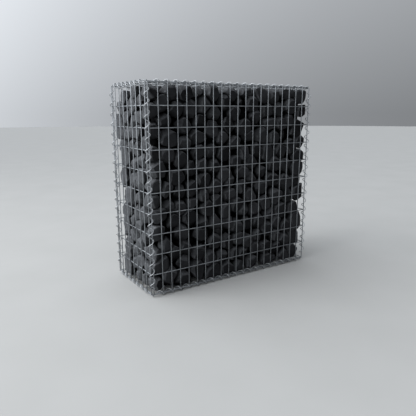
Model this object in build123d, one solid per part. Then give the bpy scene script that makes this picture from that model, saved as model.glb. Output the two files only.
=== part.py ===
from build123d import *
import math
import os
import random

# A free-standing gabion: six flat panels of welded wire mesh, laced together
# along all twelve edges by helical binders and filled with broken stone.
# Lengths are in millimetres. X runs along the wall, Y from front to back and Z up.
# The origin is under the middle of the wall, on the ground.

# Welded mesh panels, between the middles of their edge wires
mesh_length = 1000.0
mesh_depth = 400.0
mesh_height = 1000.0
upright_pitch = 50.0
row_pitch = 100.0
mesh_wire = 4.5
mesh_gap = 0.3

# Helical binders, which thread round the two edge wires of each edge
binder_wire = 4.0
binder_pitch = 50.0
binder_lead = 6.0
binder_gap = 0.3
binder_sides = 6

# Stone fill, laid in courses that reach from row to row
stone_width = 85.0
stone_hollow = 14.0
stone_round = 14.0
fill_gap = 0.3
lid_headroom = 3.0
binder_room = 4.0

# How far the fill stops short of the right end, and how far its back left
# corner is missing, course by course from the ground up
right_end_gaps = (28.0, 27.0, 14.0, 11.0, 30.0, 14.0, 2.0, 4.0, 10.0, 2.0)
back_corner_gaps = (70.0, 75.0, 75.0, 70.0, 100.0, 65.0, 105.0, 50.0, 70.0, 115.0)

# Each panel stands this far outside the corner where its wires end, so that the
# inner wires of two panels that meet pass each other with the mesh gap between them
panel_stand_off = 2 * mesh_wire + mesh_gap

# The binder's flats clear the corners of the two edge uprights by the binder gap
binder_inner = (panel_stand_off + mesh_wire) / math.sqrt(2) + binder_gap
binder_outer = binder_inner + binder_wire
flat_to_corner = 1 / math.cos(math.pi / binder_sides)
binder_reach = binder_outer * flat_to_corner

# An upright binder is centred between its edge uprights. A level one sits closer in,
# on the ends of the cross wires, because the edge wires it holds are inside those.
upright_stand_off = panel_stand_off / 2
level_stand_off = panel_stand_off + mesh_wire / 2 + binder_gap - binder_inner

# Heights of the lowest and highest rows, with the lowest binders on the ground
mesh_bottom = binder_outer + level_stand_off
mesh_top = mesh_bottom + mesh_height
mesh_middle = (mesh_bottom + mesh_top) / 2

# The stones press on the uprights and stand on the long wires of the base
fill_stand_off = panel_stand_off - mesh_wire / 2 - fill_gap
inner_face = panel_stand_off - 1.5 * mesh_wire
fill_bottom = mesh_bottom - inner_face
fill_top = mesh_top + inner_face - lid_headroom

# The fill is cut back where the binders pass through it
binder_space = binder_reach + binder_room
level_cut = binder_space + fill_stand_off - level_stand_off
corner_cut = binder_space * math.sqrt(2) + 2 * (fill_stand_off - upright_stand_off)


def cell_count(span, pitch):
    """Whole cells of about one pitch that fill a span."""
    return max(1, round(span / pitch))


def evenly(span, pitch):
    """Positions of the wires across a span, centred on zero."""
    cells = cell_count(span, pitch)
    return [span * (index / cells - 0.5) for index in range(cells + 1)]


def welded_panel(width, height, upright_positions, row_positions):
    """A flat mesh panel: uprights outside, rows inside, welded where they cross."""
    upright = Box(mesh_wire, height + mesh_wire, mesh_wire)
    row = Box(width + mesh_wire, mesh_wire, mesh_wire)
    uprights = [upright.moved(Location((x, 0, 0))) for x in upright_positions]
    rows = [row.moved(Location((0, y, -mesh_wire))) for y in row_positions]
    return uprights[0].fuse(*uprights[1:], *rows)


def side_panel(width, outward, centre):
    """An upright panel of the four faces, turned to look outward."""
    panel = welded_panel(width, mesh_height, evenly(width, upright_pitch), evenly(mesh_height, row_pitch))
    along = Vector(0, 0, 1).cross(outward)
    return panel.moved(Plane(origin=centre, x_dir=along, z_dir=outward).location)


def flat_panel(outward, height):
    """The base or the lid: close cross wires outside, long wires inside."""
    panel = welded_panel(
        mesh_length, mesh_depth, evenly(mesh_length, upright_pitch), evenly(mesh_depth, row_pitch)
    )
    return panel.moved(Plane(origin=(0, 0, height), x_dir=(1, 0, 0), z_dir=outward).location)


def mesh_panels():
    """The six panels of the basket by name."""
    side_x = mesh_length / 2 + panel_stand_off
    side_y = mesh_depth / 2 + panel_stand_off
    return {
        "front_mesh": side_panel(mesh_length, Vector(0, -1, 0), (0, -side_y, mesh_middle)),
        "back_mesh": side_panel(mesh_length, Vector(0, 1, 0), (0, side_y, mesh_middle)),
        "left_end_mesh": side_panel(mesh_depth, Vector(-1, 0, 0), (-side_x, 0, mesh_middle)),
        "right_end_mesh": side_panel(mesh_depth, Vector(1, 0, 0), (side_x, 0, mesh_middle)),
        "base_mesh": flat_panel(Vector(0, 0, -1), mesh_bottom - panel_stand_off),
        "lid_mesh": flat_panel(Vector(0, 0, 1), mesh_top + panel_stand_off),
    }


def polygon(points):
    """A flat face through the points."""
    return Face(Wire.make_polygon(points, close=True))


def side_faces(a, b, c, d):
    """The flat face a, b, c, d, or the two triangles that make it up where it is twisted."""
    normal = (b - a).cross(c - a).normalized()
    if abs(normal.dot(d - a)) < 1e-6:
        return [polygon([a, b, c, d])]
    return [polygon([a, b, c]), polygon([a, c, d])]


def solid_through(rings):
    """A closed solid through a row of like rings of points, with flat faces only."""
    faces = [polygon(rings[0]), polygon(rings[-1])]
    for ring, following in zip(rings, rings[1:]):
        for index in range(len(ring)):
            after = (index + 1) % len(ring)
            faces += side_faces(ring[index], ring[after], following[after], following[index])
    return Solid(Shell(faces))


def binder(middle, along, outward, flat, span, cross_pitch):
    """A right-handed helix of wire along one edge of the basket.

    It stands furthest out just past each cross wire, and passes through both
    meshes between cross wires. The edge runs along the span, centred on middle.
    """
    turns_per_cell = max(1, round(cross_pitch / binder_pitch))
    pitch = cross_pitch / turns_per_cell
    radius = (binder_inner + binder_outer) / 2
    climb = math.atan2(pitch, 2 * math.pi * radius)
    half_width = binder_wire / math.cos(climb) / 2
    sideways = along.cross(outward)
    flat_angle = math.atan2(flat.dot(sideways), flat.dot(outward))
    end = span / 2 + level_stand_off - binder_space - half_width
    rings = []
    step = 2 * math.pi / binder_sides
    first = -math.ceil(span / pitch) * binder_sides
    for number in range(first, -first):
        angle = flat_angle + (number + 0.5) * step
        travel = binder_lead + pitch * angle / (2 * math.pi) - span / 2 % pitch
        if abs(travel) > end:
            continue
        spoke = (outward * math.cos(angle) + sideways * math.sin(angle)) * flat_to_corner
        centre = middle + along * travel
        rings.append([
            centre + spoke * binder_inner,
            centre + spoke * binder_outer - along * half_width,
            centre + spoke * binder_outer + along * half_width,
        ])
    return solid_through(rings)


def upright_binders():
    """The four binders up the corners."""
    x = mesh_length / 2 + upright_stand_off
    y = mesh_depth / 2 + upright_stand_off
    pitch = mesh_height / cell_count(mesh_height, row_pitch)
    corners = {"front_left": (-1, -1), "front_right": (1, -1), "back_left": (-1, 1), "back_right": (1, 1)}
    made = {}
    for name, (side_x, side_y) in corners.items():
        middle = Vector(side_x * x, side_y * y, mesh_middle)
        outward = Vector(side_x, side_y, 0).normalized()
        made["binder_" + name] = binder(
            middle, Vector(0, 0, 1), outward, Vector(0, side_y, 0), mesh_height, pitch
        )
    return made


def level_binders():
    """The eight binders round the base and the lid."""
    x = mesh_length / 2 + level_stand_off
    y = mesh_depth / 2 + level_stand_off
    long_pitch = mesh_length / cell_count(mesh_length, upright_pitch)
    short_pitch = mesh_depth / cell_count(mesh_depth, upright_pitch)
    made = {}
    for level, side_z in (("base", -1), ("lid", 1)):
        z = mesh_middle + side_z * (mesh_height / 2 + level_stand_off)
        flat = Vector(0, 0, side_z)
        for name, side in (("front", -1), ("back", 1)):
            outward = Vector(0, side, side_z).normalized()
            middle = Vector(0, side * y, z)
            made[f"binder_{level}_{name}"] = binder(
                middle, Vector(1, 0, 0), outward, flat, mesh_length, long_pitch
            )
        for name, side in (("left", -1), ("right", 1)):
            outward = Vector(side, 0, side_z).normalized()
            middle = Vector(side * x, 0, z)
            made[f"binder_{level}_{name}"] = binder(
                middle, Vector(0, 1, 0), outward, flat, mesh_depth, short_pitch
            )
    return made


def stone_edge(start, end, inward, chance):
    """Points along one side of a course: stones that touch the mesh, with hollows between them."""
    run = (end - start).length
    stones = max(2, 2 * round(run / stone_width / 2))
    points = [start]
    for number in range(1, stones):
        place = (number + chance.uniform(-0.2, 0.2)) / stones
        depth = chance.uniform(0.4, 1.0) * stone_hollow if number % 2 else 0.0
        points.append(start + (end - start) * place + inward * depth)
    points.append(end)
    return points


def stone_course(number, bottom, top, foot_cut, head_cut):
    """One course of the fill: widest at mid height, drawn in above and below."""
    chance = random.Random(number)
    left = -(mesh_length / 2 + fill_stand_off)
    right = mesh_length / 2 + fill_stand_off - right_end_gaps[number % len(right_end_gaps)]
    near = -(mesh_depth / 2 + fill_stand_off)
    far = mesh_depth / 2 + fill_stand_off
    bite = max(corner_cut, back_corner_gaps[number % len(back_corner_gaps)])
    sides = [
        (Vector(left + corner_cut, near), Vector(right - corner_cut, near), Vector(0, 1)),
        (Vector(right, near + corner_cut), Vector(right, far - corner_cut), Vector(-1, 0)),
        (Vector(right - corner_cut, far), Vector(left + bite, far), Vector(0, -1)),
        (Vector(left, far - bite), Vector(left, near + corner_cut), Vector(1, 0)),
    ]
    foot, belly, head = [], [], []
    for start, end, inward in sides:
        for point in stone_edge(start, end, inward, chance):
            foot.append(point + inward * foot_cut + Vector(0, 0, bottom))
            belly.append(point + Vector(0, 0, (bottom + top) / 2))
            head.append(point + inward * head_cut + Vector(0, 0, top))
    return solid_through([foot, belly, head])


def stone_courses():
    """The fill, one course on another from the base mesh up to just under the lid."""
    rows = [mesh_middle + row for row in evenly(mesh_height, row_pitch)]
    levels = [fill_bottom] + rows[1:-1] + [fill_top]
    made = {}
    for number, (bottom, top) in enumerate(zip(levels, levels[1:])):
        foot_cut = max(stone_round, level_cut) if bottom == fill_bottom else stone_round
        head_cut = max(stone_round, level_cut) if top == fill_top else stone_round
        made[f"stone_course_{number + 1:02d}"] = stone_course(number, bottom, top, foot_cut, head_cut)
    return made


def main():
    os.makedirs("parts", exist_ok=True)
    nodes = {**mesh_panels(), **upright_binders(), **level_binders(), **stone_courses()}
    for name, solid in nodes.items():
        export_step(solid, f"parts/{name}.step")
    print(len(nodes), "nodes, stone fill", round(sum(
        solid.volume for name, solid in nodes.items() if name.startswith("stone")
    ) / 1e9, 3), "cubic metres")


main()
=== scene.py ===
# %% [markdown]
# # A gabion: a wire basket full of broken stone
#
# The real object is six flat panels of welded wire mesh, laced together along
# all twelve edges by long wire helices, and filled with stones that are too
# big to slip through the mesh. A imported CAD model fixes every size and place.
# This lesson dresses that model: round wires take the place of its square
# bars, and single stones take the place of its ten solid courses.

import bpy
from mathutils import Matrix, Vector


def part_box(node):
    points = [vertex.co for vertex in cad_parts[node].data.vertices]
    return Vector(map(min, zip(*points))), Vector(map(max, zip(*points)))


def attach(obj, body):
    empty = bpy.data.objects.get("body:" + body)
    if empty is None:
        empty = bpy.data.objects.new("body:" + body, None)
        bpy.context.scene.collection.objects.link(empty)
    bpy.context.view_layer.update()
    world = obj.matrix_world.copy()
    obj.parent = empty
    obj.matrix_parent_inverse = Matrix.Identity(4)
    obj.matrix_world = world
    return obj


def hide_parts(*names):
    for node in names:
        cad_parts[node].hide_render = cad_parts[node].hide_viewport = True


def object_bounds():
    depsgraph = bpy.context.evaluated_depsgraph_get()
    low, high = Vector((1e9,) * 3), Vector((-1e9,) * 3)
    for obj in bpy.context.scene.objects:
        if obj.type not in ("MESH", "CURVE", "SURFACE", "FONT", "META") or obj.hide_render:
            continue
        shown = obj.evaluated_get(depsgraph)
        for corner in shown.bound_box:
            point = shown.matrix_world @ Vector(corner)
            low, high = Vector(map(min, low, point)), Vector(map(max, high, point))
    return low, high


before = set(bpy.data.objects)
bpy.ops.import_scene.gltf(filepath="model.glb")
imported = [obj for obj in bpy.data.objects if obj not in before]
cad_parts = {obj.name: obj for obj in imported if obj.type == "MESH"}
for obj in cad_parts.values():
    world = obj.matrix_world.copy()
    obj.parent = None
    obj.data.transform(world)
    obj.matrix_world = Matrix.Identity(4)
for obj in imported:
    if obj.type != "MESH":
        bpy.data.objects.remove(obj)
cad_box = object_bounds()
cad_size = [round(side, 3) for side in cad_box[1] - cad_box[0]]
print("The frame holds", len(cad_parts), "parts, and measures", cad_size, "m")

# %% [markdown]
# ## Tools
#
# Meshes are built with bmesh, Blender's mesh editor for scripts. Its operators
# are the ones behind the buttons of Edit Mode: cone, spin, bisect, bevel. All
# lengths are in metres. Random numbers come from fixed seeds, so that each run
# gives the same basket, apart from the depths of some hollows in the stones,
# which differ by under 1.5 mm. The text on easing the edges says why.

# %% Bring in the tools
import itertools
import math
import random

import bmesh
import bpy
from mathutils import Matrix, Vector, kdtree

mm = 0.001
X, Y, Z = range(3)


def third_axis(first, second):
    return X + Y + Z - first - second


print("Besides X and Z there is", "XYZ"[third_axis(X, Z)])

# %% [markdown]
# ## Materials as arithmetic
#
# A material in Blender is a graph of nodes. It could be wired up node by node,
# but such code is long and hides the sum that it stands for. Two small classes
# keep it readable. A Signal is a number that changes over a surface, and
# arithmetic on Signals adds Math nodes. A Finish is one material, with one
# method that adds any other node: its type, then its settings, then what goes
# into its sockets.

# %% A number that varies over a surface
class Signal:
    def __init__(self, finish, socket):
        self.finish = finish
        self.socket = socket

    def math(self, operation, first, second):
        node = self.finish.add("ShaderNodeMath", {"operation": operation}, {0: first, 1: second})
        return Signal(self.finish, node.outputs["Value"])

    def __add__(self, other):
        return self.math("ADD", self, other)

    def __radd__(self, other):
        return self.math("ADD", other, self)

    def __sub__(self, other):
        return self.math("SUBTRACT", self, other)

    def __rsub__(self, other):
        return self.math("SUBTRACT", other, self)

    def __mul__(self, other):
        return self.math("MULTIPLY", self, other)

    def __rmul__(self, other):
        return self.math("MULTIPLY", other, self)

    def __pow__(self, other):
        return self.math("POWER", self, other)

    def __rpow__(self, other):
        return self.math("POWER", other, self)


# %% One finish
class Finish:
    """The node graph of a material or of the sky."""

    def __init__(self, owner, shader_name):
        owner.use_nodes = True
        self.owner = owner
        self.tree = owner.node_tree
        self.shader = self.tree.nodes[shader_name]

    def add(self, kind, settings, sockets):
        """Add a node, set it up, then feed its sockets with values or links."""
        node = self.tree.nodes.new(kind)
        for name, value in settings.items():
            if name == "stops":
                self.set_stops(node, value)
            else:
                setattr(node, name, value)
        for name, value in sockets.items():
            self.feed(node.inputs[name], value)
        return node

    def set_stops(self, node, stops):
        """Give a colour ramp its stops, as pairs of position and grey."""
        elements = node.color_ramp.elements
        while len(elements) < len(stops):
            elements.new(0.5)
        for element, (position, grey) in zip(elements, stops):
            element.position = position
            element.color = (grey, grey, grey, 1.0)

    def feed(self, socket, value):
        """Link a Signal or a node's socket, or set a plain value."""
        if isinstance(value, Signal):
            value = value.socket
        if isinstance(value, bpy.types.NodeSocket):
            self.tree.links.new(value, socket)
        else:
            socket.default_value = value

    def give(self, name, value):
        """Feed one socket of the shader itself."""
        self.feed(self.shader.inputs[name], value)

    def place(self):
        """Where a point lies on the object, in metres."""
        return self.add("ShaderNodeTexCoord", {}, {}).outputs["Object"]

    def parts(self, vector):
        """The X, Y and Z of a vector, as three Signals."""
        node = self.add("ShaderNodeSeparateXYZ", {}, {0: vector})
        return [Signal(self, node.outputs[axis]) for axis in "XYZ"]

    def stored(self, name):
        """A number stored on the mesh."""
        node = self.add("ShaderNodeAttribute", {"attribute_name": name}, {})
        return Signal(self, node.outputs["Fac"])

    def noise(self, size, detail=2.0, roughness=0.5):
        """Soft random patches about as wide as size."""
        sockets = {
            "Vector": self.place(), "Scale": 1 / size, "Detail": detail, "Roughness": roughness
        }
        return Signal(self, self.add("ShaderNodeTexNoise", {}, sockets).outputs["Fac"])

    def ramp(self, signal, stops):
        """Bend a Signal along straight runs between stops."""
        node = self.add("ShaderNodeValToRGB", {"stops": stops}, {"Fac": signal})
        return Signal(self, node.outputs["Color"])

    def blend(self, share, first, second):
        """A colour between two others."""
        node = self.add("ShaderNodeMix", {"data_type": "RGBA"}, {0: share, 6: first, 7: second})
        return node.outputs[2]

    def bump(self, height, depth, strength):
        """Fine relief, as deep as depth where height is 1."""
        sockets = {"Height": height, "Distance": depth, "Strength": strength}
        return self.add("ShaderNodeBump", {}, sockets).outputs["Normal"]


def new_material(name):
    return Finish(bpy.data.materials.new(name), "Principled BSDF")


# %% Try the arithmetic
trial_finish = new_material("Trial")
trial_finish.give("Roughness", 1 - trial_finish.noise(10 * mm) * 0.5)
print("With 1 minus half a noise, the graph has", len(trial_finish.tree.nodes), "nodes")
bpy.data.materials.remove(trial_finish.owner)

# %% [markdown]
# ## Galvanised wire
#
# The wire is steel with a skin of zinc. New zinc is bright and shows small
# crystals. Outdoors it turns a dull grey with pale, chalky patches. An image of
# zinc would have to be wrapped round every wire. Patterns that read the place
# of a point need no wrapping, so they are used here: cells for the crystals and
# noises for weather and chalk. The helices are brighter than the mesh, so one
# function makes both, with different greys.

# %% Patterns of the zinc
crystal_size = 3 * mm
weather_size = 60 * mm
weather_stops = [(0.35, 0.0), (0.65, 1.0)]
chalk_size = 14 * mm
chalk_stops = [(0.5, 0.0), (0.72, 1.0)]
zinc_grain_size = 1.5 * mm
zinc_grain_depth = 0.12 * mm
zinc_grain_strength = 0.6
print("Crystals are", round(crystal_size / mm), "mm wide, chalk patches", round(chalk_size / mm))

# %% Mix the zinc
crystal_share, weather_share, chalk_share = 0.35, 0.45, 0.2
chalk_roughness, crystal_roughness = 0.2, 0.12
bare_metal, chalked_metal = 0.85, 0.45


def zinc(name, dull, bright, least_roughness):
    finish = new_material(name)
    cells = {"Vector": finish.place(), "Scale": 1 / crystal_size}
    crystal_node = finish.add("ShaderNodeTexVoronoi", {"feature": "F1"}, cells)
    crystals = Signal(finish, crystal_node.outputs["Color"])
    weather = finish.ramp(finish.noise(weather_size, detail=4.0), weather_stops)
    chalk = finish.ramp(finish.noise(chalk_size, detail=5.0), chalk_stops)
    share = crystals * crystal_share + weather * weather_share + chalk * chalk_share
    finish.give("Base Color", finish.blend(share, dull, bright))
    roughness = least_roughness + chalk * chalk_roughness + crystals * crystal_roughness
    finish.give("Roughness", roughness)
    finish.give("Metallic", bare_metal - chalk * chalked_metal)
    grain = finish.noise(zinc_grain_size, detail=3.0)
    finish.give("Normal", finish.bump(grain, zinc_grain_depth, zinc_grain_strength))
    print("Mixed", name)
    return finish.owner


mesh_finish = zinc("Dull zinc", (0.18, 0.19, 0.20, 1.0), (0.38, 0.40, 0.42, 1.0), 0.45)
helix_finish = zinc("Bright zinc", (0.32, 0.33, 0.34, 1.0), (0.60, 0.62, 0.64, 1.0), 0.38)

# %% [markdown]
# ## Broken dark stone
#
# The stone is a dark volcanic rock, broken in a crusher. Its fresh faces are
# nearly black and finely pitted, and no two stones are quite the same grey.
# Each stone could have a material of its own, but one material that reads
# numbers from the mesh serves them all. So each stone carries its own shade,
# stored on its faces as stone_shade, and each corner carries how deep it lies
# in the fill, stored as recess, because little light finds its way in there.
# Pale dust lies where a face looks up, and on the left end, where the weather reaches. The same
# pale grey is also painted light: faces that look up, and faces that look to the left, are painted
# lighter, as if lit from above and from the left.

# %% Colour of a fresh face
fresh_dark = (0.0042, 0.0043, 0.005, 1.0)
fresh_light = (0.037, 0.038, 0.041, 1.0)
mottle_size = 28 * mm
shade_share, mottle_share, grain_share = 0.6, 0.45, 0.5
darker_by = 0.375
fresh_stops = [(0.0, 0.0), (0.9, 1.0)]


def fresh_face(finish, grain):
    """Darker or lighter by the stone's own shade, by broad patches and by fine grain."""
    shade = finish.stored("stone_shade")
    mottle = finish.noise(mottle_size, detail=4.0, roughness=0.6)
    light = shade * shade_share + mottle * mottle_share + grain * grain_share - darker_by
    return finish.blend(finish.ramp(light, fresh_stops), fresh_dark, fresh_light)


print("Broad patches are about", round(mottle_size / mm), "mm wide")

# %% Where dust and painted light lie
# Painted light and dust: faces that look up, and faces that look left, are mixed towards this pale
# grey.
dust_and_painted_light = (0.135, 0.14, 0.148, 1.0)
film_size = 11 * mm
film_stops = [(0.34, 0.45), (0.66, 1.0)]
level_stops = [(0.25, 0.0), (0.9, 1.0)]
left_end_stops = [(0.42, 0.0), (0.5, 1.0)]
weathered_and_lit_stops = [(0.55, 0.0), (0.95, 1.0)]
left_end_pull = 0.42
level_dust_and_light, weathered_dust_and_light = 0.8, 0.85


def dust_and_painted_light_share(finish):
    """A patchy film of dust and painted light where a face looks up, or looks left, most of all at
    the left end.
    """
    facing = finish.parts(finish.add("ShaderNodeNewGeometry", {}, {}).outputs["Normal"])
    level = finish.ramp(facing[Z], level_stops)
    left_end = finish.ramp(finish.parts(finish.place())[X] * -1.0, left_end_stops)
    weathered_and_lit = finish.ramp(left_end * left_end_pull - facing[X], weathered_and_lit_stops)
    film = finish.ramp(finish.noise(film_size, detail=5.0, roughness=0.65), film_stops)
    return (level * level_dust_and_light + weathered_and_lit * weathered_dust_and_light) * film


# The pale grey is dust and painted light together.
print("Dust is", round(dust_and_painted_light[0] / fresh_light[0], 1), "times as light as the lightest stone")

# %% Mix the stone
# Painted shade: faces deep in the fill are darkened towards this colour.
painted_recess_shade = (0.001, 0.001, 0.0013, 1.0)
grain_size = 2.2 * mm
deepest_light = 42 * mm
recess_stops = [(0.3, 0.0), (1.0, 0.95)]
least_roughness, grain_roughness = 0.7, 0.25
chip_size = 14 * mm
chip_depth = 6 * mm
chip_strength = 0.7
chip_share, pit_share = 0.8, 0.2
stone_shine = 0.1


def dark_stone():
    finish = new_material("Dark broken stone")
    grain = finish.noise(grain_size, detail=4.0, roughness=0.7)
    # Painted light and dust: faces that look up, and faces that look left, turn paler.
    dusted_and_lit = finish.blend(dust_and_painted_light_share(finish), fresh_face(finish, grain), dust_and_painted_light)
    # Painted shade: the deeper a corner lies in the fill, the darker its colour.
    recess = finish.ramp(finish.stored("recess") * (1 / deepest_light), recess_stops)
    finish.give("Base Color", finish.blend(recess, dusted_and_lit, painted_recess_shade))
    finish.give("Roughness", least_roughness + grain * grain_roughness)
    chips = finish.noise(chip_size, detail=6.0, roughness=0.68)
    relief = chips * chip_share + grain * pit_share
    finish.give("Normal", finish.bump(relief, chip_depth, chip_strength))
    finish.give("Specular IOR Level", stone_shine)
    print("Mixed", finish.owner.name)
    return finish.owner


stone_finish = dark_stone()

# %% [markdown]
# ## From a bmesh to a piece
#
# Each finished mesh becomes a Blender object that rides on the body of the basket, takes the place
# of one CAD part, which is hidden, and gets its material. Every piece goes through the same few
# lines, so they are a function.

# %% Turn a finished mesh into a piece
def mesh_of(bm, name):
    mesh = bpy.data.meshes.new(name)
    bm.to_mesh(mesh)
    bm.free()
    return mesh


def show(name, data):
    """Put a mesh, a lamp or a camera into the scene."""
    thing = bpy.data.objects.new(name, data)
    bpy.context.collection.objects.link(thing)
    return thing


def make_piece(bm, name, node, finish):
    mesh = mesh_of(bm, name)
    mesh.materials.append(finish)
    piece = show(name, mesh)
    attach(piece, "root")
    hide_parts(node)
    triangles = sum(len(face.vertices) - 2 for face in mesh.polygons)
    print(name, "has", triangles, "triangles")
    return piece


# %% [markdown]
# ## Welded mesh
#
# A panel is a layer of close wires welded across a layer of wider-spaced ones.
# The real wires are pressed together and spot welded, which leaves a small bead
# in the corners of each crossing. A wire could be a curve with a round section,
# but a thin cone with two equal radii is a closed mesh from the start. Its cut
# ends are eased by a bevel. Joining the wires with a Boolean would leave thin
# slivers at 870 crossings, so they only touch, and a flattened icosphere makes
# each bead. It has twenty faces, because there are hundreds of them.

# %% Sizes of the mesh
wire_radius = 2.25 * mm
wire_sides = 10
close_pitch = 50 * mm
wide_pitch = 100 * mm
cut_bevel = 0.6 * mm
bead_radius = 3.0 * mm
bead_height = 1.5 * mm
print("Wires are", round(2 * wire_radius / mm, 2), "mm thick, with", wire_sides, "sides")

# %% Draw one straight wire
def add_wire(bm, start, end):
    run = end - start
    turn = run.to_track_quat("Z", "Y").to_matrix().to_4x4()
    bmesh.ops.create_cone(
        bm, cap_ends=True, segments=wire_sides, radius1=wire_radius, radius2=wire_radius,
        depth=run.length, matrix=Matrix.Translation((start + end) / 2) @ turn
    )


trial_wire = bmesh.new()
add_wire(trial_wire, Vector(), Vector((0, 0, wide_pitch)))
print("One wire has", len(trial_wire.faces), "faces")
trial_wire.free()

# %% Space wires evenly
def evenly(start, end, pitch):
    cells = round((end - start) / pitch)
    return [start + (end - start) * number / cells for number in range(cells + 1)]


print("Four cells reach", [round(place / mm) for place in evenly(0, 200 * mm, close_pitch)], "mm")

# %% Lay one layer of wires
def lay_wires(bm, box, spaced, along, depth, places):
    """Wires that run along one axis and are spaced along another, at one depth."""
    low, high = box
    for place in places:
        start = Vector()
        start[spaced] = place
        start[third_axis(spaced, along)] = depth
        end = start.copy()
        start[along] = low[along]
        end[along] = high[along]
        add_wire(bm, start, end)
    print("Laid", len(places), "wires along", "XYZ"[along])


# %% Ease the cut ends
def ease_ends(bm):
    """Bevel the rims of the round ends, and smooth the sides of the wires."""
    rims = [
        edge for edge in bm.edges if any(len(face.verts) > 4 for face in edge.link_faces)
    ]
    bmesh.ops.bevel(
        bm, geom=rims, offset=cut_bevel, offset_type="OFFSET", affect="EDGES",
        segments=1, profile=0.5, material=-1
    )
    for face in bm.faces:
        face.smooth = len(face.verts) == 4
    print("Eased", len(rims), "edges")


# %% Weld the crossings
def add_welds(bm, close_axis, wide_axis, close, wide, depth):
    """A flattened bead wherever a close wire crosses a wide-spaced one."""
    outward_axis = third_axis(close_axis, wide_axis)
    size = Vector((bead_radius, bead_radius, bead_radius))
    size[outward_axis] = bead_height
    for first, second in itertools.product(close, wide):
        middle = Vector()
        middle[close_axis] = first
        middle[wide_axis] = second
        middle[outward_axis] = depth
        place = Matrix.Translation(middle) @ Matrix.Diagonal(size).to_4x4()
        bead = bmesh.ops.create_icosphere(bm, subdivisions=1, radius=1.0, matrix=place)
        for vert in bead["verts"]:
            for face in vert.link_faces:
                face.smooth = True
    print("Welded", len(close) * len(wide), "crossings")


# %% Make one panel
def panel(node, close_axis, outward_axis, outward):
    """Close wires are spaced along close_axis, in the layer furthest outward."""
    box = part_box(node)
    low, high = box
    wide_axis = third_axis(close_axis, outward_axis)
    outer = high[outward_axis] - wire_radius if outward > 0 else low[outward_axis] + wire_radius
    inner = outer - outward * 2 * wire_radius
    close = evenly(low[close_axis] + wire_radius, high[close_axis] - wire_radius, close_pitch)
    wide = evenly(low[wide_axis] + wire_radius, high[wide_axis] - wire_radius, wide_pitch)
    bm = bmesh.new()
    lay_wires(bm, box, close_axis, wide_axis, outer, close)
    lay_wires(bm, box, wide_axis, close_axis, inner, wide)
    ease_ends(bm)
    add_welds(bm, close_axis, wide_axis, close, wide, (outer + inner) / 2)
    make_piece(bm, node.replace("mesh", "wires"), node, mesh_finish)


# %% Make the six panels
panel("front_mesh", X, Y, -1)
panel("back_mesh", X, Y, 1)
panel("left_end_mesh", Y, X, -1)
panel("right_end_mesh", Y, X, 1)
panel("base_mesh", X, Z, -1)
panel("lid_mesh", X, Z, 1)

# %% [markdown]
# ## Helical binders
#
# The panels are laced by wire coiled like a long open spring, which is turned
# like a corkscrew through both meshes along an edge. A Screw modifier or a
# curve could make such a coil. Here it is a spin that also moves along its
# axis: a small circle of wire is swept round the edge, a little further along
# at each step, which gives a plain mesh with even faces. The CAD box of the
# binder gives its middle and its ends, and its lead says how far past a cross
# wire the coil stands furthest out.

# %% Sizes of the coils
coil_wire = 2.0 * mm
coil_reach = 14.05 * mm
coil_pitch = 50 * mm
coil_lead = 6 * mm
coil_steps = 24
coil_sides = 8
mesh_low, mesh_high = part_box("front_mesh")
mesh_centre = Vector((0, 0, (mesh_low.z + mesh_high.z) / 2))
print("The mesh is centred at a height of", round(mesh_centre.z, 4), "m")

# %% Find the long axis of a part
def long_axis(node):
    low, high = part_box(node)
    size = high - low
    return max(range(3), key=lambda axis: size[axis])


print("binder_lid_front runs along", "XYZ"[long_axis("binder_lid_front")])

# %% Place the first ring of a coil
def first_ring(middle, along, outward, step):
    """Where the circle of wire starts, square to its path, as a matrix."""
    radius = coil_reach - coil_wire
    angle = 2 * math.pi * step / coil_steps
    spoke = outward * math.cos(angle) + along.cross(outward) * math.sin(angle)
    forward = (along.cross(spoke) * 2 * math.pi * radius + along * coil_pitch).normalized()
    start = middle + along * (coil_lead + coil_pitch * step / coil_steps) + spoke * radius
    turn = Matrix((spoke, forward.cross(spoke), forward)).transposed().to_4x4()
    return Matrix.Translation(start) @ turn


print("The wire runs", round((coil_reach - coil_wire) / mm, 2), "mm from the coil's axis")

# %% Coil one binder
def binder(node, outward):
    low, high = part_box(node)
    run = long_axis(node)
    along = Vector([float(axis == run) for axis in range(3)])
    middle = (low + high) / 2
    middle[run] = mesh_centre[run]
    first = math.ceil((low[run] + coil_wire - middle[run] - coil_lead) / coil_pitch * coil_steps)
    last = math.floor((high[run] - coil_wire - middle[run] - coil_lead) / coil_pitch * coil_steps)
    bm = bmesh.new()
    bmesh.ops.create_circle(
        bm, cap_ends=False, segments=coil_sides, radius=coil_wire,
        matrix=first_ring(middle, along, Vector(outward).normalized(), first)
    )
    bmesh.ops.spin(
        bm, geom=bm.verts[:] + bm.edges[:], cent=middle, axis=along,
        dvec=along * coil_pitch / coil_steps, angle=2 * math.pi * (last - first) / coil_steps,
        steps=last - first, use_merge=False
    )
    bmesh.ops.holes_fill(bm, edges=bm.edges[:], sides=coil_sides)
    bmesh.ops.recalc_face_normals(bm, faces=bm.faces[:])
    for face in bm.faces:
        face.smooth = len(face.verts) == 4
    print(node, "has", round((last - first) / coil_steps, 2), "turns")
    make_piece(bm, node.replace("binder", "coil"), node, helix_finish)


# %% Coil the twelve binders
for side_x, end in ((-1, "left"), (1, "right")):
    for side_y, face in ((-1, "front"), (1, "back")):
        binder("binder_" + face + "_" + end, (side_x, side_y, 0))
for side_z, level in ((-1, "base"), (1, "lid")):
    for side, face in ((-1, "front"), (1, "back")):
        binder("binder_" + level + "_" + face, (0, side, side_z))
    for side, end in ((-1, "left"), (1, "right")):
        binder("binder_" + level + "_" + end, (side, 0, side_z))

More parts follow.
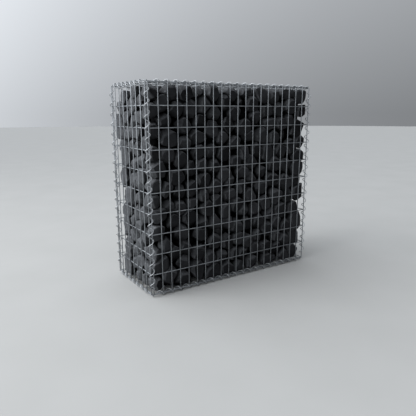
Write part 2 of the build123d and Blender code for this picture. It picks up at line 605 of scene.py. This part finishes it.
# %% [markdown]
# ## The room for the stones
#
# The stones press on the wires of the panels, rest on the base mesh, and stop a
# little under the lid. They have settled, so they are short of the right end,
# the whole corner at the back left is missing, and the top dips towards it. All
# this could be modelled as one hollow shape, but a few functions are lighter:
# they say how far the fill reaches at any spot. The CAD courses give the reach
# to the right, and the size of the missing corner is written down for each
# course, from the ground up.

# %% Measure the room
touch = 0.3 * mm
room_low = Vector((
    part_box("left_end_mesh")[1].x + touch,
    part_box("front_mesh")[1].y + touch,
    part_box("base_mesh")[1].z
))
room_high = Vector((
    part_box("right_end_mesh")[0].x - touch,
    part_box("back_mesh")[0].y - touch,
    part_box("stone_course_10")[1].z
))
print("Room for stones", [round(side, 3) for side in room_high - room_low], "m")

# %% Measure the courses
course_names = [f"stone_course_{number:02d}" for number in range(1, 11)]
course_boxes = [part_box(name) for name in course_names]
course_tops = [high.z for low, high in course_boxes]
course_ends = [high.x for low, high in course_boxes]
corner_bites = [bite * mm for bite in (70, 75, 75, 70, 100, 65, 105, 50, 70, 115)]
print("The courses end", [round((room_high.x - end) / mm) for end in course_ends], "mm short")

# %% Look up the fill at a height
def course_at(height):
    """The number of the course at a height, counted from 0 at the ground."""
    below = sum(top <= height for top in course_tops)
    return min(below, len(course_tops) - 1)


def between_courses(height, values):
    """A value for any height, from one value for the middle of each course."""
    place = (height - room_low.z) / (room_high.z - room_low.z) * len(values) - 0.5
    place = min(max(place, 0.0), len(values) - 1.0)
    below = min(int(place), len(values) - 2)
    return values[below] + (values[below + 1] - values[below]) * (place - below)


def right_limit(height):
    return min(between_courses(height, course_ends), room_high.x)


print("Half way up, in course", course_at(0.5) + 1, "the fill ends at", round(right_limit(0.5), 3))

# %% Let the top dip
corner_dip = 34 * mm
dip_radius = 260 * mm


def top_limit(spot):
    """The fill lies lower round its back left corner."""
    away = math.hypot(spot.x - room_low.x, room_high.y - spot.y)
    return room_high.z - corner_dip * max(0.0, 1 - away / dip_radius)


print("Over its middle the fill is", round(top_limit(Vector()), 3), "m high")

# %% [markdown]
# ## The two corner columns
#
# A stone is the space nearer to its own seed than to any other seed, so to
# place a stone is to place its seed. The stones of two corners are set one by
# one, because they draw the outline of the fill: the front right corner and the
# back left one. For each stone the lists give its foot and its head above the
# lowest row, and how far it stops short of the last upright or how much of the
# corner it leaves out, all in millimetres. Behind the right column stands a
# second row of large stones, one at each joint, so that nothing shows through
# between two stones.

# %% List the corner stones
lowest_row = mesh_low.z + wire_radius
end_upright = mesh_high.x - wire_radius
right_column = (
    (0, 95, 42), (97, 187, 41), (193, 284, 27), (289, 352, 47), (358, 445, 9), (449, 505, 44),
    (507, 590, 29), (594, 662, 8), (668, 737, 16), (742, 838, 24), (846, 908, 2),
    (910, 1000, 18)
)
left_column = (
    (0, 100, 75), (104, 170, 80), (173, 232, 88), (238, 330, 73), (335, 402, 82),
    (406, 500, 119), (506, 594, 55), (600, 712, 105), (720, 848, 42), (864, 918, 62),
    (922, 1000, 84)
)
print("The columns hold", len(right_column), "and", len(left_column), "stones")

# %% Set the right column
column_inset = 33 * mm
corner_rounding = 18 * mm
usual_height = 75
seeds = []
own_sizes = {}
own_reaches = {}
for foot, head, short in right_column:
    own_reach = min(end_upright - short * mm + corner_rounding, room_high.x)
    own_reaches[len(seeds)] = own_reach
    own_sizes[len(seeds)] = (head - foot) / usual_height
    seeds.append(Vector((
        own_reach - column_inset, room_low.y + column_inset, lowest_row + (foot + head) / 2 * mm
    )))
print("The largest stone there is", round(max(own_sizes.values()), 2), "times the usual size")

# %% Set the second row
second_row = 62 * mm
second_size = 1.25
heads = [head for foot, head, short in right_column[:-1]]
next_feet = [foot for foot, head, short in right_column[1:]]
for head, next_foot in zip(heads, next_feet):
    joint = lowest_row + (head + next_foot) / 2 * mm
    own_sizes[len(seeds)] = second_size
    seeds.append(Vector((
        right_limit(joint) - column_inset, room_low.y + column_inset + second_row, joint
    )))
print(len(heads), "stones close the joints")

# %% Set the left column
bite_rounding = 24 * mm
own_bites = {}
for foot, head, bite in left_column:
    own_bites[len(seeds)] = bite * mm - bite_rounding
    own_sizes[len(seeds)] = (head - foot) / usual_height
    seeds.append(Vector((
        room_low.x + column_inset, room_high.y - bite * mm - column_inset,
        lowest_row + (foot + head) / 2 * mm
    )))
set_seeds = len(seeds)
print(set_seeds, "stones are set by hand")

# %% [markdown]
# ## Where the other stones sit
#
# The other stones could be dropped in by a physics simulation, which takes long
# and may end differently on another machine. Cells round seeds need none, and
# they fit together like a dry stone packing. The seeds are thrown like darts
# that keep their distance: first those behind the six faces of the fill, where
# stones lie close against the wires, and then those that fill the inside.

# %% Sort seeds into a grid
face_spacing = 61 * mm
inside_spacing = 64 * mm
grid = {}


def cell_of(spot):
    return tuple(int(number // inside_spacing) for number in spot)


for seed in seeds:
    grid.setdefault(cell_of(seed), []).append(seed)
print("The set seeds lie in", len(grid), "cells of the grid")

# %% Throw one dart
def is_free(spot, spacing):
    """Whether no earlier seed lies nearer than spacing."""
    home = cell_of(spot)
    for step in itertools.product((-1, 0, 1), repeat=3):
        nearby = grid.get(tuple(number + move for number, move in zip(home, step)), ())
        if any((other - spot).length < spacing for other in nearby):
            return False
    return True


def throw(spot, spacing):
    """Keep a spot as a seed if no earlier seed is too near."""
    if is_free(spot, spacing):
        seeds.append(spot)
        grid.setdefault(cell_of(spot), []).append(spot)


print("The first seed's own place is free:", is_free(seeds[0], face_spacing))

# %% Choose a spot
dart_luck = random.Random(11)
behind_depths = (25, 45)
side_axes = (Y, Y, X, X, Z, Z)


def anywhere():
    return Vector([dart_luck.uniform(low, high) for low, high in zip(room_low, room_high)])


def put_behind(spot, side):
    """Move a spot behind a side: 0 to 5 are front, back, left, right, bottom and top."""
    depth = dart_luck.uniform(*behind_depths) * mm
    ends = (right_limit(spot.z), room_high.y, top_limit(spot))
    axis = side_axes[side]
    spot[axis] = ends[axis] - depth if side % 2 else room_low[axis] + depth


print("Seeds lie", behind_depths[0], "to", behind_depths[1], "mm behind a side")

# %% Test a spot
fill_margin = 20 * mm
corner_margin = 30 * mm
inside_margin = 62 * mm


def room_margin(spot):
    """How far a spot lies from the nearest side of the room."""
    return min(
        min(spot[axis] - room_low[axis], room_high[axis] - spot[axis]) for axis in range(3)
    )


def past_corner(spot):
    """How far a spot lies past the missing corner, along X and Y together."""
    bite = between_courses(spot.z, corner_bites)
    return (spot.x - room_low.x) + (room_high.y - spot.y) - bite


def in_fill(spot):
    """Whether a spot lies clear of the right end, the top and the missing corner."""
    return (
        spot.x < right_limit(spot.z) - fill_margin
        and spot.z < top_limit(spot) - fill_margin
        and past_corner(spot) > corner_margin
    )


print("The middle of the room lies in the fill:", in_fill((room_low + room_high) / 2))

# %% Seed the faces
face_throws = 9000
for throw_number in range(face_throws):
    spot = anywhere()
    put_behind(spot, throw_number % len(side_axes))
    if room_margin(spot) > fill_margin and in_fill(spot):
        throw(spot, face_spacing)
face_seeds = len(seeds)
print(face_seeds - set_seeds, "more stones lie behind the faces")

# %% Seed the inside
inside_throws = 16000
for throw_number in range(inside_throws):
    spot = anywhere()
    if room_margin(spot) > inside_margin and in_fill(spot):
        throw(spot, inside_spacing)
print(len(seeds) - face_seeds, "stones lie inside")

# %% [markdown]
# ## Let the seeds settle
#
# Darts leave some seeds crowded and some lonely. So each seed is pushed away from those that are
# too near, a quarter of the way at each round, and is then moved back into the fill. The seeds
# that are set one by one stay where they are.

# %% Hold a seed in the fill and find its neighbours
def held_in(spot, margin):
    """The spot, moved back so that it lies a margin inside the fill."""
    spot.z = min(max(spot.z, room_low.z + margin), top_limit(spot) - margin)
    spot.x = min(max(spot.x, room_low.x + margin), right_limit(spot.z) - margin)
    spot.y = min(max(spot.y, room_low.y + margin), room_high.y - margin)
    bite = between_courses(spot.z, corner_bites)
    short = (bite + margin * math.sqrt(2) - (spot.x - room_low.x) - (room_high.y - spot.y)) / 2
    if short > 0:
        spot.x += short
        spot.y -= short
    return spot


def tree_of(spots):
    tree = kdtree.KDTree(len(spots))
    for number, spot in enumerate(spots):
        tree.insert(spot, number)
    tree.balance()
    return tree


def usual_distance(spots, tree):
    """The mean distance from a spot to its nearest neighbour."""
    nearest = [tree.find_n(spot, 2)[1][2] for spot in spots]
    return sum(nearest) / len(nearest)


print("Neighbours are", round(usual_distance(seeds, tree_of(seeds)) / mm, 1), "mm apart")

# %% Push the seeds apart
settle_distance = 76 * mm
settle_rounds = 14
settle_share = 4
settle_margins = (26, 38)
margins = [dart_luck.uniform(*settle_margins) * mm for seed in seeds]
for settle_round in range(settle_rounds):
    settle_tree = tree_of(seeds)
    settled = []
    for number, seed in enumerate(seeds):
        push = Vector()
        for spot, other, distance in settle_tree.find_range(seed, settle_distance):
            if other != number:
                push += (seed - spot) / distance * (settle_distance - distance) / settle_share
        settled.append(seed if number < set_seeds else held_in(seed + push, margins[number]))
    seeds = settled
seed_tree = tree_of(seeds)
print("Neighbours are now", round(usual_distance(seeds, seed_tree) / mm, 1), "mm apart")

# %% [markdown]
# ## Break one stone
#
# A stone starts as a cube round its seed. Bisect cuts it along the plane that
# it shares with each neighbour, tilted a little so that no two cells look
# alike. Where that plane is nearly level the two stones touch, so each rests on
# the ones below. Elsewhere a gap stays between them, wide in the middle of the
# wall and narrow near its ends, where wide gaps would let light through. Then
# come the cuts that keep the stone inside the wires and clear of the coils. A
# displaced ball could pass for a stone too, but only flat cuts leave the sharp
# faces of broken rock.

# %% Cut flat and close the cut
def new_cube(size, middle):
    bm = bmesh.new()
    bmesh.ops.create_cube(bm, size=size, matrix=Matrix.Translation(middle))
    return bm


def cut(bm, point, normal):
    """Cut the stone along a plane and keep the side behind the normal."""
    if all((vert.co - point).dot(normal) <= 0 for vert in bm.verts):
        return
    result = bmesh.ops.bisect_plane(
        bm, geom=bm.verts[:] + bm.edges[:] + bm.faces[:], dist=0.01 * mm,
        plane_co=point, plane_no=normal, clear_outer=True
    )
    rim = [item for item in result["geom_cut"] if isinstance(item, bmesh.types.BMEdge)]
    if rim:
        bmesh.ops.edgeloop_fill(bm, edges=rim)


trial_cube = new_cube(1.0, Vector())
cut(trial_cube, Vector(), Vector((1, 1, 1)).normalized())
print("A cube cut across its middle has", len(trial_cube.faces), "faces")
trial_cube.free()

# %% The planes shared with neighbours
narrow_gap = 5 * mm
wide_gap = 14 * mm
left_row = 60 * mm
right_row = 130 * mm
end_tightness = 0.4
share_luck = 0.03
shared_tilt = 0.14
level_enough = 0.65
pair_step = 10007
size_luck = random.Random(5)
usual_sizes = (0.84, 1.16)
stone_sizes = [
    own_sizes.get(number, size_luck.uniform(*usual_sizes)) for number in range(len(seeds))
]


def tilted(direction, amount, luck):
    """The direction, turned a little at random."""
    nudge = Vector([luck.uniform(-amount, amount) for axis in range(3)])
    return (direction + nudge).normalized()


def shared_plane(number, other):
    """The same tilted plane, whichever of the two stones asks for it."""
    first, second = sorted((number, other))
    luck = random.Random(first * pair_step + second)
    between = seeds[second] - seeds[first]
    share = stone_sizes[first] / (stone_sizes[first] + stone_sizes[second])
    middle = seeds[first] + between * (share + luck.uniform(-share_luck, share_luck))
    normal = tilted(between.normalized(), shared_tilt, luck)
    gap = 0.0 if abs(normal.z) > level_enough else luck.uniform(narrow_gap, wide_gap)
    if middle.x < room_low.x + left_row or middle.x > room_high.x - right_row:
        gap *= end_tightness
    if number == first:
        return middle - normal * gap / 2, normal
    return middle + normal * gap / 2, -normal


print("The sizes of the stones differ by up to", round(max(stone_sizes) / min(stone_sizes), 1))

# %% The planes of the basket
end_shortness = (0, 10)
top_shortness = (0, 9)
corner_fullness = (0, 14)


def basket_planes(number, luck):
    """Planes that keep a stone within the wires and the fill, as point and normal."""
    seed = seeds[number]
    planes = []
    for axis in range(3):
        low_side = Vector([-float(axis == other) for other in range(3)])
        planes.append((Vector(room_low), low_side))
        if axis != Z:
            planes.append((Vector(room_high), -low_side))
    end = own_reaches.get(number, right_limit(seed.z) - luck.uniform(*end_shortness) * mm)
    planes.append((Vector((end, 0, 0)), Vector((1, 0, 0))))
    top = top_limit(seed) - luck.uniform(*top_shortness) * mm
    planes.append((Vector((0, 0, top)), Vector((0, 0, 1))))
    usual_bite = between_courses(seed.z, corner_bites) - luck.uniform(*corner_fullness) * mm
    corner = Vector((room_low.x + own_bites.get(number, usual_bite), room_high.y, 0))
    planes.append((corner, Vector((-1, 1, 0)).normalized()))
    return planes


print("The basket bounds each stone by", len(basket_planes(0, random.Random(0))), "planes")

# %% The planes of the coils
coil_nearness = 110 * mm
coil_clearance = 1 * mm
binder_names = [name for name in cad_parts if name.startswith("binder")]
binder_middles = [(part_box(name)[0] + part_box(name)[1]) / 2 for name in binder_names]
binder_runs = [long_axis(name) for name in binder_names]


def coil_planes(number):
    """Planes that keep a stone clear of the coils along the edges."""
    planes = []
    for middle, run in zip(binder_middles, binder_runs):
        away = middle - seeds[number]
        away[run] = 0.0
        if away.length < coil_nearness:
            towards = away.normalized()
            point = seeds[number] + away - towards * (coil_reach + coil_clearance)
            planes.append((point, towards))
    return planes


print("The first stone lies near", len(coil_planes(0)), "coils")

# %% [markdown]
# ## Knock off the corners
#
# A crusher and a lorry leave no long spikes on a stone. So knocks are spread
# evenly round it, as on a rough ball of its own volume, and each cuts off what
# stands out, but not from the faces that lie against the wires. The golden
# angle spreads the knocks: each is turned by it from the one before.

# %% Knock a stone
round_directions = 14
golden = 3 - math.sqrt(5)
height_luck = (0.2, 0.8)
turn_luck = 0.3
knock_reach = (0.76, 1.04)
spared_side = 0.8


def knock_corners(bm, spared, roundness, luck):
    """Knock off what stands outside a rough ball, but spare the stone's outward faces."""
    radius = (3 * bm.calc_volume() / (4 * math.pi)) ** (1 / 3) / roundness
    centre = sum((vert.co for vert in bm.verts), Vector()) / len(bm.verts)
    turn = luck.uniform(0, 2 * math.pi)
    for number in range(round_directions):
        height = 1 - 2 * (number + luck.uniform(*height_luck)) / round_directions
        angle = turn + number * math.pi * golden + luck.uniform(-turn_luck, turn_luck)
        ring = math.sqrt(max(0.0, 1 - height * height))
        direction = Vector((ring * math.cos(angle), ring * math.sin(angle), height))
        if any(direction.dot(normal) > spared_side for normal in spared):
            continue
        cut(bm, centre + direction * radius * luck.uniform(*knock_reach), direction)


trial_cube = new_cube(1.0, Vector())
knock_corners(trial_cube, [], 1.0, random.Random(0))
print("A cube with its corners knocked off has", len(trial_cube.faces), "faces")

# %% [markdown]
# ## Wrap the stone in a skin
#
# Merging short edges, or a bevel at a narrow corner, can fold a mesh over
# itself. Mending such faces one by one is slow. A broken stone has no hollows
# of its own, so the tightest skin round its corners, its convex hull, is a
# clean closed mesh with the same shape.

# %% Wrap a stone
level_angle = 7


def wrap(bm):
    """Put the tightest skin round the stone's corners, and drop those inside it."""
    bmesh.ops.delete(bm, geom=bm.edges[:] + bm.faces[:], context="EDGES_FACES")
    hull = bmesh.ops.convex_hull(bm, input=bm.verts[:], use_existing_faces=False)
    leftovers = hull["geom_interior"] + hull["geom_unused"]
    inner = [item for item in leftovers if isinstance(item, bmesh.types.BMVert)]
    bmesh.ops.delete(bm, geom=list(set(inner)), context="VERTS")


def join_level_faces(bm, angle):
    """Join faces that are nearly level with each other."""
    bmesh.ops.dissolve_limit(
        bm, angle_limit=math.radians(angle), use_dissolve_boundaries=False,
        verts=bm.verts[:], edges=bm.edges[:]
    )
    bm.normal_update()


wrap(trial_cube)
print("Its skin has", len(trial_cube.faces), "triangles")
join_level_faces(trial_cube, level_angle)
print("Joined where they are level, they make", len(trial_cube.faces), "faces")
trial_cube.free()

# %% [markdown]
# ## Make the stone
#
# Now the cuts come together. A stone that meets a plane of the basket can be
# seen. Its outward face isn't left flat on the wires, but is cut once more at a
# random slope. A stone at the top of the front also gets a brow, a slope that
# looks up and forward and catches the light. The stones of the corner columns
# are knocked less, so that they keep their outline.

# %% Cut out a cell
stone_reach = 80 * mm
neighbours = 26


def cut_out(number):
    """The space nearer to a seed than to its neighbours, cut from a cube."""
    bm = new_cube(2 * stone_reach, seeds[number])
    for spot, other, distance in seed_tree.find_n(seeds[number], neighbours)[1:]:
        cut(bm, *shared_plane(number, other))
    return bm


trial_cell = cut_out(0)
print("The first cell has", len(trial_cell.faces), "faces")
trial_cell.free()

# %% Slope its outward faces
face_slopes = (0.08, 0.16, 0.3, 0.45)
slope_depths = (0.5, 4)
brow_depths = (4 * mm, 30 * mm)
brow_slope = Vector((0, -0.6, 0.8))
brow_tilt = 0.25
square_on = 0.9


def slope_faces(bm, seed, outward, luck):
    """Cut each outward face again at a slope, and give top front stones a brow."""
    for point, normal in outward:
        slope = tilted(normal, luck.choice(face_slopes), luck)
        on_face = seed + normal * (point - seed).dot(normal)
        cut(bm, on_face - normal * luck.uniform(*slope_depths) * mm, slope)
    at_front = any(normal.y < -square_on for point, normal in outward)
    at_top = any(normal.z > square_on for point, normal in outward)
    if at_front and at_top:
        brow = Vector((seed.x, room_low.y, top_limit(seed) - luck.uniform(*brow_depths)))
        cut(bm, brow, tilted(brow_slope, brow_tilt, luck))


print("A brow looks up by", round(math.degrees(math.asin(brow_slope.z))), "degrees")

# %% Break a stone
near_wires = 6 * mm
set_roundness, usual_roundness = 0.85, 1.0
smallest_edge = 8 * mm


def reach(bm, direction):
    """How far the stone reaches in a direction."""
    return max(vert.co.dot(direction) for vert in bm.verts)


def break_stone(number):
    """One stone as a closed bmesh, and whether it can be seen from outside."""
    luck = random.Random(number)
    bm = cut_out(number)
    outward = []
    for point, normal in basket_planes(number, luck):
        if reach(bm, normal) - point.dot(normal) > -near_wires:
            outward.append((point, normal))
            cut(bm, point, normal)
    for point, normal in coil_planes(number):
        cut(bm, point, normal)
    slope_faces(bm, seeds[number], outward, luck)
    roundness = set_roundness if number < set_seeds else usual_roundness
    knock_corners(bm, [normal for point, normal in outward], roundness, luck)
    bmesh.ops.remove_doubles(bm, verts=bm.verts[:], dist=smallest_edge)
    wrap(bm)
    join_level_faces(bm, level_angle)
    return bm, bool(outward)


trial_stone, trial_seen = break_stone(0)
print("The first stone has", len(trial_stone.faces), "faces, and can be seen:", trial_seen)

# %% [markdown]
# ## Ease the edges
#
# A bevel takes the sharpness off the edges of the stones that can be seen. At a
# narrow corner it may throw a point outside the stone. Such strays are dropped,
# and the stone is wrapped again. Last, a poke pulls the middle of each large
# face in, which leaves the shallow hollows of broken rock. A wrap can list its
# faces in another order each run, and the depths are drawn in that order, so
# some hollows trade depths. Faces sorted by place before the draws would not.

# %% Finish a stone's surface
edge_round = 4.5 * mm
round_luck = (0.6, 1.2)
stray_height = 0.5 * mm
eased_angle = 4
large_face = (16 * mm) ** 2
deepest_hollow = 1.6 * mm
hollow_luck = (0.1, 1.0)


def stands_out(vert, flats):
    """Whether a corner lies outside one of the faces that the stone had."""
    return any((vert.co - point).dot(normal) > stray_height for point, normal in flats)


def ease_edges(bm, luck):
    """Bevel the edges, drop what the bevel pushed out, and hollow the large faces."""
    flats = [(face.calc_center_median(), face.normal.copy()) for face in bm.faces]
    bmesh.ops.bevel(
        bm, geom=bm.edges[:], offset=edge_round * luck.uniform(*round_luck),
        offset_type="OFFSET", affect="EDGES", segments=1, profile=0.5, material=-1,
        clamp_overlap=True
    )
    strays = [vert for vert in bm.verts if stands_out(vert, flats)]
    bmesh.ops.delete(bm, geom=strays, context="VERTS")
    wrap(bm)
    join_level_faces(bm, eased_angle)
    for face in [face for face in bm.faces if face.calc_area() > large_face]:
        hollow = luck.uniform(*hollow_luck) * deepest_hollow
        bmesh.ops.poke(bm, faces=[face], offset=-hollow, center_mode="MEAN")


ease_edges(trial_stone, random.Random(0))
print("With its edges eased it has", len(trial_stone.faces), "faces")
trial_stone.free()

# %% [markdown]
# ## Fill the basket
#
# The stones of each course become one piece, which stands for the CAD course at
# the same height. Hundreds of objects would do as well, but ten meshes are
# quicker to handle. Stones deep inside are left sharp, because only their dark
# backs show through the gaps.

# %% Measure how deep a point lies
def recess_of(spot):
    """How deep a point lies behind the nearest side of the fill."""
    return max(0.0, min(
        spot.x - room_low.x, right_limit(spot.z) - spot.x,
        spot.y - room_low.y, room_high.y - spot.y,
        top_limit(spot) - spot.z, past_corner(spot) / math.sqrt(2)
    ))


print("The middle lies", round(recess_of((room_low + room_high) / 2), 3), "m deep")

# %% Finish one stone
finish_start = 50000


def finished_stone(number):
    """One stone as a mesh with its shade and recess, and whether it can be seen."""
    stone, seen = break_stone(number)
    luck = random.Random(number + finish_start)
    if seen:
        ease_edges(stone, luck)
    shade_layer = stone.faces.layers.float.new("stone_shade")
    shade = luck.random()
    for face in stone.faces:
        face[shade_layer] = shade
        face.smooth = seen
    # The depth in the fill, which the stone material turns into painted shade.
    recess_layer = stone.verts.layers.float.new("recess")
    for vert in stone.verts:
        vert[recess_layer] = recess_of(vert.co)
    bmesh.ops.recalc_face_normals(stone, faces=stone.faces[:])
    return mesh_of(stone, "loose stone"), seen


trial_mesh, trial_seen = finished_stone(0)
print("The first stone is now a mesh with", len(trial_mesh.vertices), "corners")
bpy.data.meshes.remove(trial_mesh)

# %% Lay the stones in their courses
courses = [bmesh.new() for name in course_names]
for course in courses:
    course.faces.layers.float.new("stone_shade")
    course.verts.layers.float.new("recess")
stones_seen = 0
for number, seed in enumerate(seeds):
    loose_stone, seen = finished_stone(number)
    courses[course_at(seed.z)].from_mesh(loose_stone)
    bpy.data.meshes.remove(loose_stone)
    stones_seen += seen
print(stones_seen, "stones can be seen,", len(seeds) - stones_seen, "lie inside")

# %% [markdown]
# ## Light on the stones
#
# With flat shading every small facet shows, and with smooth shading the stones
# look like wax. So edges with a clear angle are marked sharp, and Weighted
# Normal lets the large faces decide how light falls on the eased edges.

# %% Make the ten courses
sharp_angle = 32
large_face_weight = 60
for course, name in zip(courses, course_names):
    piece_name = name.replace("stone_course", "stones")
    piece = make_piece(course, piece_name, name, stone_finish)
    piece.data.set_sharp_from_angle(angle=math.radians(sharp_angle))
    even_light = piece.modifiers.new("Even light", "WEIGHTED_NORMAL")
    even_light.weight = large_face_weight
    even_light.keep_sharp = True

# %% [markdown]
# ## Floor, light and camera
#
# The floor is plain and pale. A broad light from the left and above lights the
# end of the basket and leaves its long face in shade, and a weak sky fills the
# shade. The camera stands where the picture was taken from, looking a little
# down on the near corner.

# %% Lay the floor
floor_radius = 30.0
floor_sides = 64
ground = bmesh.new()
bmesh.ops.create_circle(ground, cap_ends=True, segments=floor_sides, radius=floor_radius)
floor = show("Floor", mesh_of(ground, "Floor"))
print("The floor reaches", floor_radius, "m")

# %% Colour the floor
floor_patch = 0.4
darker_grey = (0.40, 0.40, 0.39, 1.0)
lighter_grey = (0.45, 0.45, 0.44, 1.0)
floor_finish = new_material("Pale floor")
patches = floor_finish.noise(floor_patch, detail=3.0)
floor_finish.give("Base Color", floor_finish.blend(patches, darker_grey, lighter_grey))
floor_finish.give("Roughness", 0.9)
floor.data.materials.append(floor_finish.owner)
print("Mixed", floor_finish.owner.name)

# %% Hang the light
lamp = bpy.data.lights.new("Key light", "AREA")
lamp.shape = "DISK"
lamp.size = 4.5
lamp.energy = 150
key_light = show("Key light", lamp)
key_light.location = (-4.4, 0.6, 3.6)
lit_spot = Vector((0, 0, 0.5))
backwards = key_light.location - lit_spot
key_light.rotation_euler = backwards.to_track_quat("Z", "Y").to_euler()
print("The key light hangs", round(backwards.length, 2), "m away")

# %% Fill the sky
least_light, overhead_light, beyond_light, glow_light = 0.04, 0.6, 0.27, 2.15
glow_up, glow_beyond, glow_left = 0.2, 0.2, 0.4
glow_focus = 4
sky = Finish(bpy.data.worlds.new("Sky"), "Background")
bpy.context.scene.world = sky.owner
east, north, up_there = sky.parts(sky.add("ShaderNodeTexCoord", {}, {}).outputs["Generated"])
overhead = sky.ramp(up_there, [(0.0, 0.0), (1.0, 1.0)])
beyond = north * 0.5 + 0.5
glow = (up_there * glow_up + north * glow_beyond - east * glow_left + 0.5) ** glow_focus
sky.give("Color", (0.88, 0.92, 0.97, 1.0))
light = least_light + overhead * overhead_light + beyond * beyond_light + glow * glow_light
sky.give("Strength", light)
bpy.context.scene.view_settings.view_transform = "Standard"
print("The sky has", len(sky.tree.nodes), "nodes")

# %% Aim the camera
yaw, pitch, roll = 0.58207, -0.21869, -0.00296
camera_place = (-1.34091, -1.96783, 0.87866)
forward = Vector((
    math.sin(yaw) * math.cos(pitch), math.cos(yaw) * math.cos(pitch), math.sin(pitch)
))
level_right = Vector((math.cos(yaw), -math.sin(yaw), 0.0))
level_up = level_right.cross(forward)
right = level_right * math.cos(roll) + level_up * math.sin(roll)
up = level_up * math.cos(roll) - level_right * math.sin(roll)
turn = Matrix((right, up, -forward)).transposed().to_4x4()
print("The camera looks down by", round(math.degrees(-pitch), 1), "degrees")

# %% Place the camera
focal_pixels = 424.44
picture_pixels = 416
sensor_width = 36.0
camera_data = bpy.data.cameras.new("Camera")
camera_data.sensor_width = sensor_width
camera_data.lens = focal_pixels / picture_pixels * sensor_width
camera = show("Camera", camera_data)
camera.matrix_world = Matrix.Translation(camera_place) @ turn
bpy.context.scene.camera = camera
print("The lens is", round(camera_data.lens, 2), "mm")
